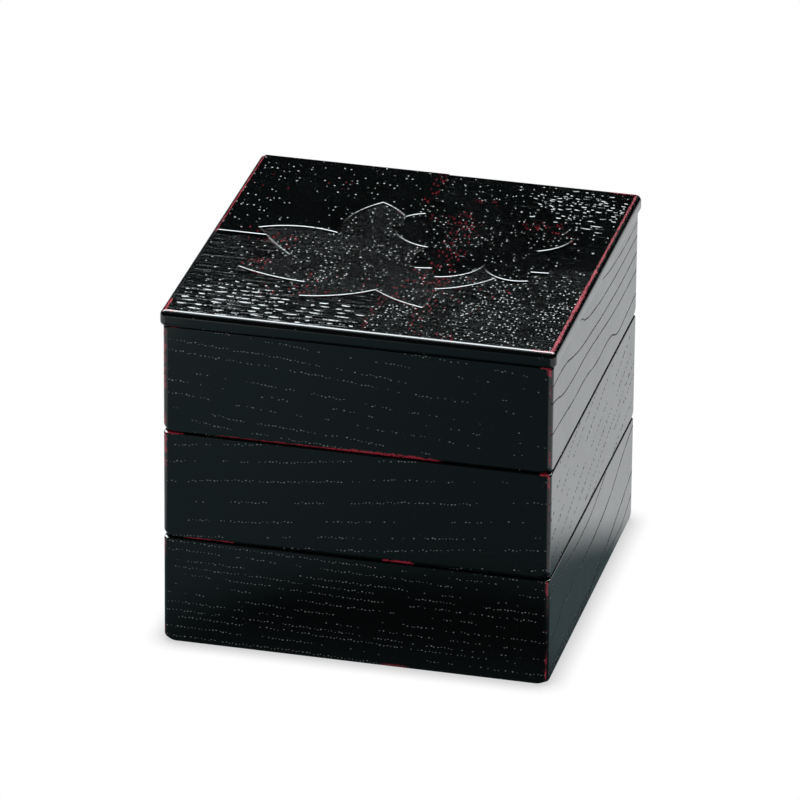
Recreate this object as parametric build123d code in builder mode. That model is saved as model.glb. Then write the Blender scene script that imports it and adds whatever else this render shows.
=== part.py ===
from build123d import *
import os

os.makedirs("parts", exist_ok=True)

# A three-tier lacquered wooden box with a lid. Millimetres, +Z up, the front faces -Y.
# The origin is the middle of the bottom tier's foot.

# Stack
lid_side = 138.0  # lid, outside to outside
lid_overhang = 1.0  # lid past the tiers, each side
tier_pitch = 40.0  # height that each tier adds
tier_names = ["bottom_tier", "middle_tier", "top_tier"]

# Tier walls and base
wall_thickness = 5.0
base_thickness = 3.0
base_groove_depth = 2.0  # base let into the walls
tier_corner_round = 1.9  # upright outer corners
tier_foot_round = 1.6  # lower outer edge
tier_mouth_round = 0.5  # upper outer edge
corner_foot_ease = 3.5  # lower ends of the upright corners, rubbed down under the lacquer
corner_mouth_ease = 1.2  # upper ends of the same
corner_ease_start = 0.02  # the easing begins this far outside the corners

# Lip that the next tier, or the lid, drops over
lip_thickness = 2.5
lip_rise = 2.5  # above the walls
lip_glued_height = 8.0  # against the walls
lip_clearance = 0.3  # sideways, to the piece above
lip_head_clearance = 0.5  # upwards, to the piece above
lip_crest_round = 0.6

# Lid rails and panel
panel_thickness = 1.8
panel_ledge = 2.5  # panel resting on the rails
board_seat_depth = 1.0  # top boards let into the rails
board_inset = 2.25  # rail left bare outside the top boards
lid_corner_round = 2.3
lid_crest_round = 2.0
lid_foot_round = 1.6

# Tops of the lid's boards and leaves, measured from the rails' crest
front_left_level = -0.25
front_right_level = -0.1
back_left_level = 0.65
back_right_level = -0.25
left_leaf_level = 0.2
right_leaf_level = 0.47

# A rounding keeps below this share of what limits it
round_limit_share = 0.9

# Side of the square that the leaves are drawn in, as a share of the lid's side
leaf_square_share = 0.9826

# Outlines of the leaves as shares of half that square, counter-clockwise:
# x, y, and how far the side to the next point bulges outwards
left_leaf_shares = [
    (-0.245, 0.544, 0.053),
    (-0.378, 0.115, 0.047),
    (-0.782, 0.083, 0.006),
    (-0.560, -0.189, 0.016),
    (-0.771, -0.345, 0.010),
    (-0.767, -0.397, 0.019),
    (-0.403, -0.497, 0.012),
    (-0.385, -0.664, 0.030),
    (-0.030, -0.501, 0.018),
    (0.251, -0.649, 0.009),
    (0.260, -0.414, 0.032),
    (0.538, -0.184, 0.015),
    (0.398, 0.059, 0.006),
    (0.401, 0.267, 0.044),
    (0.005, 0.180, 0.047),
]
right_leaf_shares = [
    (0.435, -0.090, 0.065),
    (0.693, -0.209, 0),
    (0.684, -0.100, 0),
    (0.774, -0.091, 0.047),
    (0.664, 0.162, 0.032),
    (0.807, 0.366, 0),
    (0.742, 0.391, 0),
    (0.767, 0.487, 0.030),
    (0.531, 0.487, 0.037),
    (0.310, 0.664, 0.037),
    (0.118, 0.472, 0.034),
    (-0.094, 0.394, 0),
    (-0.065, 0.304, 0),
    (-0.122, 0.288, 0.053),
    (0.099, 0.065, 0.035),
    (0.099, -0.198, 0),
    (0.183, -0.181, 0),
    (0.220, -0.280, 0.043),
]

# Worked out from the sizes above
tier_side = lid_side - 2 * lid_overhang
tier_mouth = tier_side - 2 * wall_thickness
base_side = tier_mouth + 2 * base_groove_depth
corner_reach = (tier_side / 2 - tier_corner_round) * 2**0.5 + tier_corner_round + corner_ease_start
recess_height = lip_rise + lip_head_clearance
lid_foot = len(tier_names) * tier_pitch
panel_foot = lid_foot + recess_height
board_seat = panel_foot + panel_thickness
lid_crest = board_seat + board_seat_depth
panel_side = tier_mouth + 2 * panel_ledge
board_field = lid_side - 2 * board_inset

# Each side of a square frame, and the turn that brings the front to it
side_turns = {"front": 0, "right": 90, "back": 180, "left": 270}


def leaf_face(leaf_shares):
    """Flat outline of one leaf, drawn in the lid's plan."""
    half_square = lid_side * leaf_square_share / 2
    with BuildSketch() as leaf:
        with BuildLine():
            for (x, y, bulge), (next_x, next_y, _) in zip(leaf_shares, leaf_shares[1:] + leaf_shares[:1]):
                start = (x * half_square, y * half_square)
                end = (next_x * half_square, next_y * half_square)
                if bulge:
                    SagittaArc(start, end, -bulge * half_square)
                else:
                    Line(start, end)
        make_face()
    return leaf.sketch


def export_mitred(ring, foot, height, piece_name):
    """Cuts a square ring along its corner mitres and writes its four sides."""
    for side, turn in side_turns.items():
        with BuildPart() as member:
            add(ring)
            with BuildSketch(Plane.XY.offset(foot).rotated((0, 0, turn))):
                with BuildLine():
                    Polyline((0, 0), (-lid_side, -lid_side), (lid_side, -lid_side), close=True)
                make_face()
            extrude(amount=height, mode=Mode.INTERSECT)
        member.part.label = piece_name.format(side=side)
        export_step(member.part, f"parts/{member.part.label}.step")


# Tiers
for count, tier_name in enumerate(tier_names):
    foot = count * tier_pitch
    mouth = foot + tier_pitch

    with BuildPart() as walls:
        with BuildSketch(Plane.XY.offset(foot)):
            RectangleRounded(tier_side, tier_side, tier_corner_round)
        extrude(amount=tier_pitch)
        # A barrel that touches only the corners trims their ends
        with BuildSketch(Plane.XZ) as barrel_half:
            with Locations((0, foot)):
                Rectangle(corner_reach, tier_pitch, align=(Align.MIN, Align.MIN))
            fillet(barrel_half.vertices().group_by(Axis.X)[-1].sort_by(Axis.Y)[0], corner_foot_ease)
            fillet(barrel_half.vertices().group_by(Axis.X)[-1].sort_by(Axis.Y)[-1], corner_mouth_ease)
        revolve(axis=Axis.Z, mode=Mode.INTERSECT)
        foot_edges = walls.faces().sort_by(Axis.Z)[0].edges()
        fillet(foot_edges, min(tier_foot_round, round_limit_share * tier_corner_round))
        mouth_edges = walls.faces().sort_by(Axis.Z)[-1].edges()
        fillet(mouth_edges, min(tier_mouth_round, round_limit_share * tier_corner_round))
        with BuildSketch(Plane.XY.offset(foot)):
            Rectangle(tier_mouth, tier_mouth)
        extrude(amount=tier_pitch, mode=Mode.SUBTRACT)
        with BuildSketch(Plane.XY.offset(foot + recess_height)):
            Rectangle(base_side, base_side)
        extrude(amount=base_thickness, mode=Mode.SUBTRACT)
    export_mitred(walls.part, foot, tier_pitch, tier_name + "_{side}_board")

    with BuildPart() as base_board:
        with BuildSketch(Plane.XY.offset(foot + recess_height)):
            Rectangle(base_side, base_side)
        extrude(amount=base_thickness)
    base_board.part.label = tier_name + "_base_board"
    export_step(base_board.part, f"parts/{base_board.part.label}.step")

    lip_foot = mouth - lip_glued_height
    lip_outside = tier_mouth - 2 * lip_clearance
    lip_inside = tier_mouth - 2 * lip_thickness
    with BuildPart() as lips:
        with BuildSketch(Plane.XY.offset(lip_foot)):
            Rectangle(lip_outside, lip_outside)
        extrude(amount=lip_glued_height + lip_rise)
        with BuildSketch(Plane.XY.offset(lip_foot)):
            Rectangle(lip_inside, lip_inside)
        extrude(amount=lip_glued_height + lip_rise, mode=Mode.SUBTRACT)
        crest_edges = lips.faces().sort_by(Axis.Z)[-1].edges()
        fillet(crest_edges, min(lip_crest_round, round_limit_share * (lip_thickness - lip_clearance) / 2))
        with BuildSketch(Plane.XY.offset(lip_foot)):
            Rectangle(tier_mouth, tier_mouth)
            Rectangle(lip_outside, lip_outside, mode=Mode.SUBTRACT)
        extrude(amount=lip_glued_height)
    export_mitred(lips.part, lip_foot, lip_glued_height + lip_rise, tier_name + "_{side}_lip")

# Lid rails: stepped inside for the panel, and above it for the top boards
with BuildPart() as rails:
    with BuildSketch(Plane.XY.offset(lid_foot)):
        RectangleRounded(lid_side, lid_side, lid_corner_round)
    extrude(amount=lid_crest - lid_foot)
    lid_crest_edges = rails.faces().sort_by(Axis.Z)[-1].edges()
    fillet(lid_crest_edges, min(lid_crest_round, round_limit_share * min(lid_corner_round, board_inset)))
    lid_foot_edges = rails.faces().sort_by(Axis.Z)[0].edges()
    fillet(lid_foot_edges, min(lid_foot_round, round_limit_share * lid_corner_round))
    with BuildSketch(Plane.XY.offset(lid_foot)):
        Rectangle(tier_mouth, tier_mouth)
    extrude(amount=lid_crest - lid_foot, mode=Mode.SUBTRACT)
    with BuildSketch(Plane.XY.offset(panel_foot)):
        Rectangle(panel_side, panel_side)
    extrude(amount=panel_thickness, mode=Mode.SUBTRACT)
    with BuildSketch(Plane.XY.offset(board_seat)):
        Rectangle(board_field, board_field)
    extrude(amount=board_seat_depth, mode=Mode.SUBTRACT)
export_mitred(rails.part, lid_foot, lid_crest - lid_foot, "lid_{side}_rail")

with BuildPart() as lid_panel:
    with BuildSketch(Plane.XY.offset(panel_foot)):
        Rectangle(panel_side, panel_side)
    extrude(amount=panel_thickness)
lid_panel.part.label = "lid_panel"
export_step(lid_panel.part, "parts/lid_panel.step")

# Four square boards with the leaves cut out of them, each at its own level
left_leaf_face = leaf_face(left_leaf_shares)
right_leaf_face = leaf_face(right_leaf_shares)
top_boards = {
    "front_left": (-1, -1, front_left_level),
    "front_right": (1, -1, front_right_level),
    "back_left": (-1, 1, back_left_level),
    "back_right": (1, 1, back_right_level),
}
for board_name, (across, along, level) in top_boards.items():
    with BuildPart() as top_board:
        with BuildSketch(Plane.XY.offset(board_seat)):
            with Locations((across * board_field / 4, along * board_field / 4)):
                Rectangle(board_field / 2, board_field / 2)
            add(left_leaf_face, mode=Mode.SUBTRACT)
            add(right_leaf_face, mode=Mode.SUBTRACT)
        extrude(amount=board_seat_depth + level)
    top_board.part.label = f"lid_{board_name}_board"
    export_step(top_board.part, f"parts/{top_board.part.label}.step")

# Leaves: the right one lies over the left one, which is cut away under it
with BuildPart() as left_leaf:
    with BuildSketch(Plane.XY.offset(board_seat)):
        add(left_leaf_face)
        add(right_leaf_face, mode=Mode.SUBTRACT)
    extrude(amount=board_seat_depth + left_leaf_level)
left_leaf.part.label = "lid_left_leaf"
export_step(left_leaf.part, "parts/lid_left_leaf.step")

with BuildPart() as right_leaf:
    with BuildSketch(Plane.XY.offset(board_seat)):
        add(right_leaf_face)
    extrude(amount=board_seat_depth + right_leaf_level)
right_leaf.part.label = "lid_right_leaf"
export_step(right_leaf.part, "parts/lid_right_leaf.step")
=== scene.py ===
"""Dresses and lights a three-tier lacquered wooden box with a lid. Metres, +Z up, the front faces -Y."""

from __future__ import annotations

import logging
import math
import random
from dataclasses import dataclass
from enum import Enum
from typing import ClassVar

import bmesh
import bpy
from mathutils import Matrix, Vector
from mathutils.bvhtree import BVHTree

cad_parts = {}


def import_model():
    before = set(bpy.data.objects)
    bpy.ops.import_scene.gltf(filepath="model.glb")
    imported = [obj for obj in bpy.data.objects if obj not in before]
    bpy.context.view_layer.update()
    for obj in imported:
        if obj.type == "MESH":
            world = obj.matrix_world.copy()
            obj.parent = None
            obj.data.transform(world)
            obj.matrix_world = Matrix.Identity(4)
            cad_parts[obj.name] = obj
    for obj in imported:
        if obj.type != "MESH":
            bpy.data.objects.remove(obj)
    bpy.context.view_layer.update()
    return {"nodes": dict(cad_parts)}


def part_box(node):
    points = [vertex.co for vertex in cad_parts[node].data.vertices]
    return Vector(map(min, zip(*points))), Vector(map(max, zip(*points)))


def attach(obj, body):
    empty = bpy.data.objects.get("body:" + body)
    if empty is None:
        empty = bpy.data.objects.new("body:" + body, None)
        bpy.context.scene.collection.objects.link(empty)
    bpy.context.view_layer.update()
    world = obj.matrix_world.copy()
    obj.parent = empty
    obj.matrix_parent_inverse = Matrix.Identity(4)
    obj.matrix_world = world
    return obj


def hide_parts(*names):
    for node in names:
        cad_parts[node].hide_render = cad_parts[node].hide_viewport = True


LOG = logging.getLogger("stacking_box")
MM = 0.001
Socket = bpy.types.NodeSocket
Outputs = bpy.types.bpy_prop_collection
Value = float | Socket
Triple = tuple[float, float, float]
Colour = tuple[float, float, float, float]
Point = tuple[float, float]
Nodes = dict[str, bpy.types.Object]

# Colours, linear
WHITE: Colour = (1.0, 1.0, 1.0, 1.0)
BLACK: Colour = (0.0018, 0.0024, 0.0026, 1.0)
SOFT_BLACK: Colour = (0.0060, 0.0060, 0.0065, 1.0)
RED: Colour = (0.340, 0.021, 0.040, 1.0)
DARK_RED: Colour = (0.180, 0.014, 0.024, 1.0)
PORE_GREY: Colour = (0.185, 0.210, 0.208, 1.0)
GROOVE_BLACK: Colour = (0.0030, 0.0036, 0.0038, 1.0)


class Side(Enum):
    """Which way a board of a tier, or a rail of the lid, faces."""

    FRONT = "front"
    RIGHT = "right"
    BACK = "back"
    LEFT = "left"


@dataclass(frozen=True)
class Grain:
    """How dotted grain runs over the outer face of one board, in millimetres.

    Rows rise by slope for each millimetre along the board. A pore stands each pitch along a row, and is length long
    and width high. Kept is the share of pores that stayed open, and thinned is how much of it is left at the right.
    """

    slope: float
    spacing: float
    pitch: float
    length: float
    width: float
    kept: float
    wander: float
    seed: float
    thinned: float = 1.0
    pore: Colour = PORE_GREY


@dataclass(frozen=True)
class Line:
    """One long line of drawn grain: its height along the board in millimetres, its half width, and its darkness."""

    points: tuple[Point, ...]
    half_width: float = 0.42
    strength: float = 1.0


@dataclass(frozen=True)
class DrawnGrain:
    """Long lines of grain drawn one by one over the outer face of a board."""

    lines: tuple[Line, ...]
    seed: float
    pore: Colour = GROOVE_BLACK


@dataclass(frozen=True)
class Stretch:
    """Part of an edge where the black lacquer is rubbed through to the red, in millimetres along the edge."""

    start: float
    end: float
    reach: float
    strength: float = 1.0
    fade: float = 3.0


Stretches = tuple[Stretch, ...]
Edges = tuple[tuple[Stretches, Socket, Socket], ...]


@dataclass(frozen=True)
class Wear:
    """Rubbed stretches of one board: along its foot and its mouth, and up its left and right corners from outside."""

    foot: Stretches = ()
    mouth: Stretches = ()
    left: Stretches = ()
    right: Stretches = ()


class Graph:
    """Writes nodes into one node tree, a short call for each."""

    def __init__(self, tree: bpy.types.NodeTree) -> None:
        """Keeps the tree that the nodes go into."""
        self.tree = tree

    def feed(self, node: bpy.types.Node, name: str | int, value: object) -> None:
        """Links a socket to an input of a node, or sets a plain value there."""
        if isinstance(value, Socket):
            self.tree.links.new(value, node.inputs[name])
        else:
            node.inputs[name].default_value = value

    def node(self, kind: str, feeds: dict | None = None, **settings: object) -> bpy.types.Node:
        """Adds one node.

        Args:
            kind: the node's kind, without ShaderNode in front.
            feeds: what goes into each input, a socket to link or a plain value.
            settings: properties of the node itself.

        Returns:
            The new node.
        """
        made = self.tree.nodes.new("ShaderNode" + kind)
        for name, value in settings.items():
            setattr(made, name, value)
        for name, value in (feeds or {}).items():
            self.feed(made, name, value)
        return made

    def math(self, operation: str, *values: Value) -> Socket:
        """Adds a Math node and returns its result."""
        return self.node("Math", dict(enumerate(values)), operation=operation).outputs[0]

    def plus(self, one: Value, other: Value) -> Socket:
        """Adds two numbers."""
        return self.math("ADD", one, other)

    def minus(self, one: Value, other: Value) -> Socket:
        """Takes one number from another."""
        return self.math("SUBTRACT", one, other)

    def over(self, one: Value, other: Value) -> Socket:
        """Divides one number by another."""
        return self.math("DIVIDE", one, other)

    def size(self, value: Value) -> Socket:
        """Drops a number's sign."""
        return self.math("ABSOLUTE", value)

    def times(self, *values: Value) -> Value:
        """Multiplies two or more numbers."""
        result = values[0]
        for value in values[1:]:
            result = self.math("MULTIPLY", result, value)
        return result

    def most(self, values: list[Value]) -> Value:
        """Returns the largest of some masks."""
        result = values[0]
        for value in values[1:]:
            result = self.math("MAXIMUM", result, value)
        return result

    def vector(self, operation: str, *values: object) -> Socket:
        """Adds a Vector Math node and returns its vector."""
        return self.node("VectorMath", dict(enumerate(values)), operation=operation).outputs[0]

    def length(self, x: Value, y: Value) -> Socket:
        """Returns how far a flat place is from the origin."""
        return self.node("VectorMath", {0: self.join(x, y)}, operation="LENGTH").outputs["Value"]

    def ramp(self, value: Value, low: Value, high: Value, start: Value = 0.0, end: Value = 1.0) -> Socket:
        """Carries a value smoothly from start to end as it goes from low to high."""
        feeds = {0: value, 1: low, 2: high, 3: start, 4: end}
        return self.node("MapRange", feeds, interpolation_type="SMOOTHSTEP").outputs[0]

    def line(self, value: Value, low: Value, high: Value, start: Value = 0.0, end: Value = 1.0) -> Socket:
        """Carries a value evenly from start to end as it goes from low to high."""
        return self.node("MapRange", {0: value, 1: low, 2: high, 3: start, 4: end}).outputs[0]

    def pick(self, share: Value, start: Value, end: Value) -> Socket:
        """Picks a number between start and end by a share of 0 to 1."""
        return self.line(share, 0.0, 1.0, start, end)

    def within(self, value: Value, low: Value, high: Value, soft: float) -> Socket:
        """Masks what lies between two limits, softly."""
        enters = self.ramp(value, self.minus(low, soft), self.plus(low, soft))
        return self.times(enters, self.ramp(value, self.plus(high, soft), self.minus(high, soft)))

    def curve(self, value: Socket, points: tuple[Point, ...], reach: Point, span: Point) -> Socket:
        """Reads a value off a smooth curve.

        Args:
            value: where along the curve.
            points: the curve's points.
            reach: the first and last place along the curve.
            span: the lowest and highest value of the curve.

        Returns:
            The curve's value there.
        """
        made = self.node("FloatCurve", {"Value": self.line(value, *reach)})
        drawn = made.mapping.curves[0]
        given = len(drawn.points)
        for count, (place, height) in enumerate(points):
            spot = ((place - reach[0]) / (reach[1] - reach[0]), (height - span[0]) / (span[1] - span[0]))
            if count < given:
                drawn.points[count].location = spot
            else:
                drawn.points.new(*spot)
        made.mapping.extend = "HORIZONTAL"
        made.mapping.update()
        return self.pick(made.outputs[0], *span)

    def blend(self, share: Value, below: object, above: object) -> Socket:
        """Mixes two colours, from below at 0 to above at 1."""
        return self.node("Mix", {0: share, 6: below, 7: above}, data_type="RGBA").outputs[2]

    def join(self, x: Value, y: Value, z: Value = 0.0) -> Socket:
        """Joins three numbers in a vector."""
        return self.node("CombineXYZ", {0: x, 1: y, 2: z}).outputs[0]

    def split(self, vector: Socket) -> tuple[Socket, Socket, Socket]:
        """Splits a vector in its three numbers."""
        return tuple(self.node("SeparateXYZ", {0: vector}).outputs)

    def noise(self, position: Socket, scale: Value, detail: float = 2.0, rough: float = 0.5) -> Socket:
        """Adds a noise of about 0 to 1 and returns its value."""
        feeds = {"Vector": position, "Scale": scale, "Detail": detail, "Roughness": rough}
        return self.node("TexNoise", feeds).outputs[0]

    def waver(self, place: tuple[Value, ...], sizes: tuple[float, ...], detail: float = 1.0) -> Socket:
        """Adds a noise whose bumps have the given sizes along each axis."""
        return self.noise(self.join(*(self.over(*pair) for pair in zip(place, sizes))), 1.0, detail)

    def chances(self, x: Value, y: Value) -> tuple[Socket, Socket, Socket]:
        """Gives three even chances of 0 to 1 for a whole-numbered cell."""
        thrown = self.node("TexWhiteNoise", {"Vector": self.join(x, y)}, noise_dimensions="2D")
        return self.split(thrown.outputs["Color"])

    def scattered(self, x: Socket, y: Socket, wide: Value, deep: Value, seed: Value) -> tuple[Socket, ...]:
        """Scatters a spot in each cell, and returns how far off it is and three chances of 0 to 1 for it."""
        place = self.join(self.plus(self.over(x, wide), seed), self.over(y, deep))
        feeds = {"Vector": place, "Scale": 1.0, "Randomness": 1.0}
        cells = self.node("TexVoronoi", feeds, voronoi_dimensions="2D").outputs
        return cells["Distance"], *self.split(cells["Color"])

    def millimetres(self) -> Socket:
        """Gives the position on the object in millimetres."""
        place = self.node("TexCoord").outputs["Object"]
        return self.node("VectorMath", {0: place, "Scale": 1.0 / MM}, operation="SCALE").outputs[0]


def fresh_graph(owner: bpy.types.Material | bpy.types.World) -> Graph:
    """Empties the nodes of a material or world and starts its graph."""
    owner.use_nodes = True
    owner.node_tree.nodes.clear()
    return Graph(owner.node_tree)


def added(name: str, data: bpy.types.ID) -> bpy.types.Object:
    """Makes an object and puts it in the scene."""
    made = bpy.data.objects.new(name, data)
    bpy.context.scene.collection.objects.link(made)
    return made


class Effect:
    """A shader node group that several finishes share.

    Its noises are named with their scale, detail and roughness, and its ramps with their two limits and, where they
    don't run from 0 to 1, what they give there.
    """

    name: ClassVar[str]
    takes: ClassVar[tuple[str, ...]]
    gives: ClassVar[tuple[str, ...]]

    def __init__(self) -> None:
        """Builds the group once."""
        self.tree = bpy.data.node_groups.new(self.name, "ShaderNodeTree")
        for way, names in (("INPUT", self.takes), ("OUTPUT", self.gives)):
            for name in names:
                kind = "NodeSocketVector" if name == "Position" else "NodeSocketFloat"
                self.tree.interface.new_socket(name=name, in_out=way, socket_type=kind)
        graph = Graph(self.tree)
        into = self.tree.nodes.new("NodeGroupInput").outputs
        out_of = self.tree.nodes.new("NodeGroupOutput")
        for name, result in self.draw(graph, into).items():
            graph.feed(out_of, name, result)

    def draw(self, graph: Graph, into: Outputs) -> dict[str, Socket]:
        """Draws the effect and returns its outputs by name."""
        raise NotImplementedError

    def place(self, graph: Graph, **feeds: object) -> Outputs:
        """Places the group in a material.

        Args:
            graph: the material's graph.
            feeds: input names in lower case with _ for a space, and what goes in.

        Returns:
            The outputs of the placed group.
        """
        named = {name.replace("_", " ").title(): value for name, value in feeds.items()}
        return graph.node("Group", named, node_tree=self.tree).outputs


class PoreRows(Effect):
    """Open grain: gently wandering rows of short pores, some of them filled by the lacquer."""

    name = "pore_rows"
    takes = ("Position", "Spacing", "Pitch", "Length", "Width", "Kept", "Wander", "Seed")
    gives = ("Pore", "Depth")
    drift_sizes = (48.0, 34.0, 1.0)
    drift_reach = 4.0
    shiver_sizes = (3.0, 9.0, 1.0)
    shiver_reach = 0.55
    row_key = 3.0
    row_shifts = (0.28, 0.72)
    row_starts = 7.0
    row_kepts = (0.80, 1.2)
    pore_shifts = (0.3, 0.7)
    pore_lifts = (-0.28, 0.28)
    pore_sizes = (0.7, 1.25)
    pore_rim = (1.15, 0.6)
    pore_strengths = (0.40, 1.0)
    patch_sizes = (13.0, 1.0, 1.0)
    patch_rows = 5.43
    patch_limits = (0.36, 0.62)
    patch_kepts = (0.12, 1.45)

    def draw(self, graph: Graph, into: Outputs) -> dict[str, Socket]:
        """Numbers the rows across the grain and the pores along each row, and draws a long dot in each place."""
        along, across, _ = graph.split(into["Position"])
        seed = into["Seed"]
        drift = graph.minus(graph.waver((along, across, seed), self.drift_sizes), 0.5)
        shiver = graph.minus(graph.waver((along, across, seed), self.shiver_sizes), 0.5)
        moved = graph.math("MULTIPLY_ADD", drift, graph.times(into["Wander"], self.drift_reach), across)
        moved = graph.math("MULTIPLY_ADD", shiver, self.shiver_reach, moved)
        row_place = graph.plus(graph.over(moved, into["Spacing"]), seed)
        row = graph.math("FLOOR", row_place)
        row_shift, row_start, row_kept = graph.chances(row, self.row_key)
        pore_place = graph.plus(graph.over(along, into["Pitch"]), graph.times(row_start, self.row_starts))
        pore = graph.math("FLOOR", pore_place)
        shift, chance, bright = graph.chances(pore, row)
        lift, fade, _ = graph.chances(row, pore)
        beside = graph.minus(graph.math("FRACT", row_place), graph.pick(row_shift, *self.row_shifts))
        beside = graph.plus(graph.times(beside, into["Spacing"]), graph.pick(lift, *self.pore_lifts))
        within = graph.minus(graph.math("FRACT", pore_place), graph.pick(shift, *self.pore_shifts))
        within = graph.times(graph.size(within), into["Pitch"])
        half_size = graph.times(graph.pick(bright, *self.pore_sizes), 0.5)
        reach_along = graph.over(within, graph.times(into["Length"], half_size))
        reach_across = graph.over(graph.size(beside), graph.times(into["Width"], half_size))
        dot = graph.ramp(graph.length(reach_along, reach_across), *self.pore_rim)
        patch_at = (along, graph.times(row, self.patch_rows), graph.plus(seed, 0.5))
        patch = graph.ramp(graph.waver(patch_at, self.patch_sizes), *self.patch_limits, *self.patch_kepts)
        share = graph.times(into["Kept"], patch, graph.pick(row_kept, *self.row_kepts))
        opened = graph.times(dot, graph.math("LESS_THAN", chance, share))
        return {"Pore": graph.times(opened, graph.pick(fade, *self.pore_strengths)), "Depth": opened}


class DrawnLine(Effect):
    """One long line of open grain, thick and thin by turns."""

    name = "drawn_line"
    takes = ("Along", "Distance", "Half Width", "Strength", "Seed")
    gives = ("Mask",)
    slow_sizes = (9.0, 1.0)
    slow_width = (0.25, 0.75, 0.65, 1.25)
    slow_strength = (0.25, 0.55, 0.55, 1.0)
    quick_sizes = (1.6, 1.0)
    quick_width = (0.2, 0.8, 0.75, 1.2)
    dark_core = 0.25

    def draw(self, graph: Graph, into: Outputs) -> dict[str, Socket]:
        """Varies the line's width and its darkness along it."""
        slow = graph.waver((into["Along"], into["Seed"]), self.slow_sizes, 2.0)
        quick = graph.waver((into["Along"], into["Seed"]), self.quick_sizes)
        half = graph.times(into["Half Width"], graph.line(slow, *self.slow_width), graph.line(quick, *self.quick_width))
        edge = graph.ramp(into["Distance"], half, graph.times(half, self.dark_core))
        return {"Mask": graph.times(edge, graph.ramp(slow, *self.slow_strength), into["Strength"])}


class RaisedDots(Effect):
    """Small raised dots that a stippling brush leaves in thick lacquer."""

    name = "raised_dots"
    takes = ("Position", "Pitch", "Radius", "Kept", "Seed")
    gives = ("Height",)
    cell_shape = 1.3
    patch_scale = 0.085
    patch_kepts = (0.35, 0.65, 0.25, 1.7)
    radii = (0.65, 1.3)
    heights = (0.35, 1.0)

    def draw(self, graph: Graph, into: Outputs) -> dict[str, Socket]:
        """Puts one cone in each kept cell of a scattered pattern, more of them in patches."""
        x, y, _ = graph.split(into["Position"])
        pitch, seed = into["Pitch"], into["Seed"]
        deep = graph.times(pitch, self.cell_shape)
        away, chance, size_chance, height_chance = graph.scattered(x, y, pitch, deep, seed)
        patch = graph.noise(graph.vector("ADD", into["Position"], graph.join(seed, seed)), self.patch_scale)
        share = graph.times(into["Kept"], graph.ramp(patch, *self.patch_kepts))
        radius = graph.times(into["Radius"], graph.pick(size_chance, *self.radii))
        cone = graph.line(graph.times(away, pitch), radius, 0.0)
        tall = graph.times(graph.pick(height_chance, *self.heights), radius)
        return {"Height": graph.times(cone, graph.math("LESS_THAN", chance, share), tall)}


class RubbedStretch(Effect):
    """A stretch of edge that hands have rubbed through, ragged at its rim."""

    name = "rubbed_stretch"
    takes = ("Position", "Along", "Distance", "Start", "End", "Reach", "Strength", "Fade")
    gives = ("Mask",)
    ragged_noise = (0.42, 3.0, 0.65)
    ragged_reach = (0.28, 0.72, 0.35, 1.3)
    fine_noise = (1.5, 2.0, 0.6)
    broken = (0.34, 0.52, 0.25, 1.0)
    end_reach = 0.3
    end_fade = 0.3
    full_share = 0.4

    def draw(self, graph: Graph, into: Outputs) -> dict[str, Socket]:
        """Fades the mask along the edge and away from it, and breaks it up."""
        ragged = graph.noise(into["Position"], *self.ragged_noise)
        fine = graph.noise(into["Position"], *self.fine_noise)
        begins = graph.ramp(into["Along"], graph.minus(into["Start"], into["Fade"]), into["Start"])
        ends = graph.ramp(into["Along"], graph.plus(into["End"], into["Fade"]), into["End"])
        both = graph.times(begins, ends)
        wide = graph.ramp(ragged, *self.ragged_reach)
        reach = graph.times(into["Reach"], wide, graph.pick(both, self.end_reach, 1.0))
        near = graph.ramp(into["Distance"], reach, graph.times(reach, self.full_share))
        shown = graph.times(near, graph.ramp(both, 0.0, self.end_fade), graph.ramp(fine, *self.broken))
        return {"Mask": graph.times(shown, into["Strength"])}


class RedSpecks(Effect):
    """High spots of the lacquer rubbed through to red, within a soft-edged field."""

    name = "red_specks"
    takes = ("Position", "Left", "Right", "Front", "Back", "Kept", "Seed")
    gives = ("Mask",)
    cell_wide, cell_deep = 1.15, 2.6
    soft_sides, soft_ends = 1.2, 2.5
    sizes = (0.22, 0.5)
    full_share = 0.4
    strengths = (0.35, 1.0)

    def draw(self, graph: Graph, into: Outputs) -> dict[str, Socket]:
        """Puts short upright flecks in kept cells inside the field."""
        x, y, _ = graph.split(into["Position"])
        inside = graph.times(
            graph.within(x, into["Left"], into["Right"], self.soft_sides),
            graph.within(y, into["Front"], into["Back"], self.soft_ends),
        )
        away, chance, size_chance, strong_chance = graph.scattered(x, y, self.cell_wide, self.cell_deep, into["Seed"])
        kept = graph.math("LESS_THAN", chance, graph.times(into["Kept"], inside))
        size = graph.pick(size_chance, *self.sizes)
        fleck = graph.ramp(away, size, graph.times(size, self.full_share))
        return {"Mask": graph.times(fleck, kept, graph.pick(strong_chance, *self.strengths))}


class HandledSheen(Effect):
    """Uneven sheen from handling and dust, and the slight waviness of a brushed coat."""

    name = "handled_sheen"
    takes = ("Position", "Sheen", "Spread", "Seed")
    gives = ("Roughness", "Wave", "Dust")
    smudge_noise = (0.055, 4.0, 0.6)
    smudges = (0.3, 0.7, -1.0, 1.0)
    wave_noise = (0.16, 1.0)
    dust_noise = (2.1, 1.0, 0.8)
    dust_limits = (0.72, 0.80)

    def draw(self, graph: Graph, into: Outputs) -> dict[str, Socket]:
        """Adds slow smudges to the sheen and returns the coat's slow waves and its fine dust."""
        seed = into["Seed"]
        shifted = graph.vector("ADD", into["Position"], graph.join(seed, seed, seed))
        smudge = graph.ramp(graph.noise(shifted, *self.smudge_noise), *self.smudges)
        return {
            "Roughness": graph.plus(into["Sheen"], graph.times(smudge, into["Spread"])),
            "Wave": graph.noise(shifted, *self.wave_noise),
            "Dust": graph.ramp(graph.noise(shifted, *self.dust_noise), *self.dust_limits),
        }


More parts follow.
